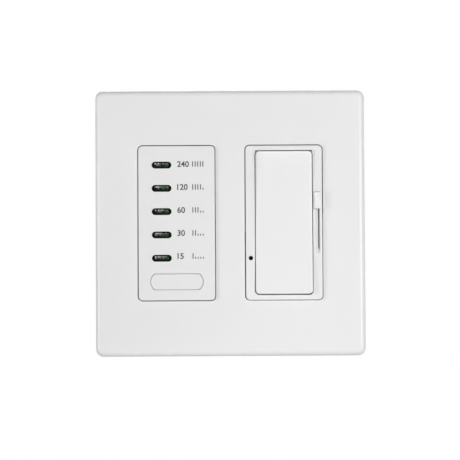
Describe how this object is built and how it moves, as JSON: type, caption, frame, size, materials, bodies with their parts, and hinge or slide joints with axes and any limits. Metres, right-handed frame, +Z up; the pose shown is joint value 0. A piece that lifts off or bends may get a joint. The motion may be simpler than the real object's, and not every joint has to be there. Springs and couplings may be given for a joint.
{
  "type": "timer light switch",
  "caption": "Wall control in a screwless plate: a countdown timer with lit windows and a push button beside a paddle dimmer with a slim slider.",
  "frame": {"origin": "middle of the four box screws, on the wall plane behind the plate's rim", "axes": "+X right, +Z up, +Y into the wall, so the front of the control faces -Y"},
  "size_m": [0.116, 0.0391, 0.1142],
  "materials": {
    "plate_plastic": "satin",
    "subplate_plastic": "matte",
    "timer_plastic": "satin",
    "button_plastic": "satin",
    "lens_smoke": "polished",
    "baffle_black": "matte",
    "led_epoxy": "clear epoxy",
    "board_green": "solder resist",
    "component_black": "matte",
    "component_yellow": "tape",
    "component_red": "epoxy dip",
    "key_plunger_plastic": "matte",
    "strap_steel": "zinc plated",
    "screw_steel": "zinc plated",
    "earth_screw_green": "green plated",
    "terminal_brass": "bright",
    "housing_plastic": "fine texture",
    "dimmer_plastic": "satin",
    "paddle_plastic": "satin",
    "knob_plastic": "satin",
    "light_pipe_smoke": "polished",
    "contact_silver": "bright",
    "ferrite_grey": "fired",
    "winding_copper": "enamelled"
  },
  "bodies": {
    "base": {"cover_plate": "plate_plastic", "mounting_subplate": "subplate_plastic", "subplate_screws": "screw_steel", "timer_face": "timer_plastic", "timer_window_lens": "lens_smoke", "timer_light_baffle": "baffle_black", "timer_leds": "led_epoxy", "timer_front_board": "board_green", "timer_key_switch": "component_black", "timer_strap": "strap_steel", "timer_housing": "housing_plastic", "timer_terminal_plates": "terminal_brass", "timer_terminal_screws": "terminal_brass", "timer_housing_screws": "screw_steel", "timer_box_screws": "screw_steel", "timer_earth_screw": "earth_screw_green", "timer_power_board": "board_green", "timer_board_header": "component_black", "timer_relay": "component_black", "timer_transformer": "component_yellow", "timer_capacitor": "component_black", "dimmer_frame": "dimmer_plastic", "paddle_pivot_pin": "screw_steel", "switch_base": "component_black", "switch_fixed_contacts": "contact_silver", "slide_potentiometer": "strap_steel", "indicator_light_pipe": "light_pipe_smoke", "indicator_led": "led_epoxy", "dimmer_circuit_board": "board_green", "dimmer_strap": "strap_steel", "dimmer_housing": "housing_plastic", "dimmer_terminal_plates": "terminal_brass", "dimmer_terminal_screws": "terminal_brass", "dimmer_housing_screws": "screw_steel", "dimmer_box_screws": "screw_steel", "dimmer_earth_screw": "earth_screw_green", "dimmer_triac": "component_black", "triac_screw": "screw_steel", "dimmer_choke_core": "ferrite_grey", "dimmer_choke_winding": "winding_copper", "dimmer_capacitor": "component_red"},
    "button": {"timer_button": "button_plastic"},
    "key_plunger": {"timer_key_plunger": "key_plunger_plastic"},
    "paddle": {"dimmer_paddle": "paddle_plastic", "paddle_spring": "screw_steel", "paddle_spring_plunger": "contact_silver"},
    "seesaw": {"switch_seesaw_contact": "contact_silver"},
    "slider": {"slider_knob": "knob_plastic", "slider_wiper": "component_black"}
  },
  "joints": [
    {"name": "button_press", "type": "slide", "parent": "base", "child": "button", "axis": [0, 1, 0], "range_m": [0, 0.0005], "stiffness_N_per_m": 500, "springref_m": -0.001},
    {"name": "key_plunger_press", "type": "slide", "parent": "base", "child": "key_plunger", "axis": [0, 1, 0], "range_m": [0, 0.0005]},
    {"name": "paddle_rock", "type": "hinge", "parent": "base", "child": "paddle", "pos_m": [0.02302, -0.0041, 0], "axis": [1, 0, 0], "range_deg": [0, 6]},
    {"name": "seesaw_rock", "type": "hinge", "parent": "base", "child": "seesaw", "pos_m": [0.02302, 0.0115, 0], "axis": [1, 0, 0], "range_deg": [-20, 0]},
    {"name": "slider_slide", "type": "slide", "parent": "base", "child": "slider", "axis": [0, 0, 1], "range_m": [-0.019, 0]}
  ],
  "couplings": [
    {"joint": "key_plunger_press", "follows": "button_press", "ratio": 1},
    {"joint": "seesaw_rock", "follows": "paddle_rock", "ratio": -3.3333}
  ]
}
